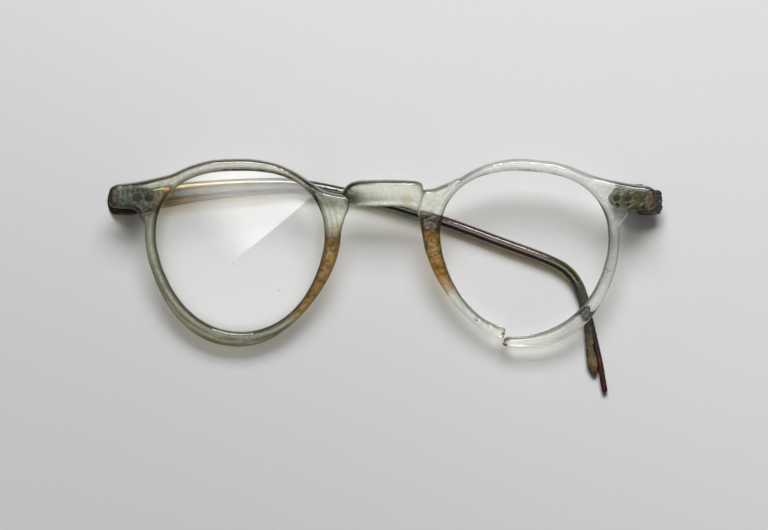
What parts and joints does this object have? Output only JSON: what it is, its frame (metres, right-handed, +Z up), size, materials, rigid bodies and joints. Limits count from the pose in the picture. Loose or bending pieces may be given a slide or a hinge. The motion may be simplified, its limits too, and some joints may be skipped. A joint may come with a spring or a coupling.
{
  "type": "broken eyeglasses",
  "caption": "Old plastic eyeglasses lying face up: one round lens left, the other rim snapped open, one warped temple folded under the front and one broken off short.",
  "frame": {"origin": "centre of the bounding box, at the surface the glasses lie on", "axes": "+X to the wearer's left along the width of the front, +Y to the brow side, +Z up out of the face of the front"},
  "size_m": [0.1266, 0.0534, 0.0121],
  "materials": {
    "front_plastic": "translucent grey-green plastic, yellowed and stained amber, olive and brown, dull and scratched",
    "lens_glass": "clear ground glass, dusty at its edge",
    "hinge_metal": "tarnished brass with verdigris",
    "rivet_metal": "corroded, nearly black",
    "screw_metal": "tarnished, with rust in the slot",
    "temple_plastic": "shrunken purple-brown plastic, decayed to a rough ochre crust at its tail",
    "core_wire_metal": "rusted dark red-brown",
    "stub_plastic": "dark grey, pitted and dusty"
  },
  "bodies": {
    "right_temple": {"right_temple_sleeve": "temple_plastic", "right_temple_core_wire": "core_wire_metal", "right_temple_hinge_leaf": "hinge_metal", "right_temple_rivet_front": "rivet_metal", "right_temple_rivet_rear": "rivet_metal"},
    "front": {"front_frame": "front_plastic", "right_lens": "lens_glass", "right_front_hinge_leaf": "hinge_metal", "right_front_rivet_inner": "rivet_metal", "right_front_rivet_outer": "rivet_metal", "right_hinge_screw": "screw_metal", "left_front_hinge_leaf": "hinge_metal", "left_front_rivet_inner": "rivet_metal", "left_front_rivet_outer": "rivet_metal", "left_hinge_screw": "screw_metal"},
    "left_stub": {"left_temple_stub": "stub_plastic", "left_temple_hinge_leaf": "hinge_metal", "left_temple_rivet_front": "rivet_metal", "left_temple_rivet_rear": "rivet_metal"}
  },
  "joints": [
    {"name": "right_temple_hinge", "type": "hinge", "parent": "right_temple", "child": "front", "pos_m": [-0.05885, 0.01795, 0.00465], "axis": [0.0022, -0.9836, -0.1805], "range_deg": [0, 90]},
    {"name": "left_temple_hinge", "type": "hinge", "parent": "front", "child": "left_stub", "pos_m": [0.05755, 0.01795, 0.00607], "axis": [0.0022, -0.9836, -0.1805], "range_deg": [-21, 69]}
  ]
}
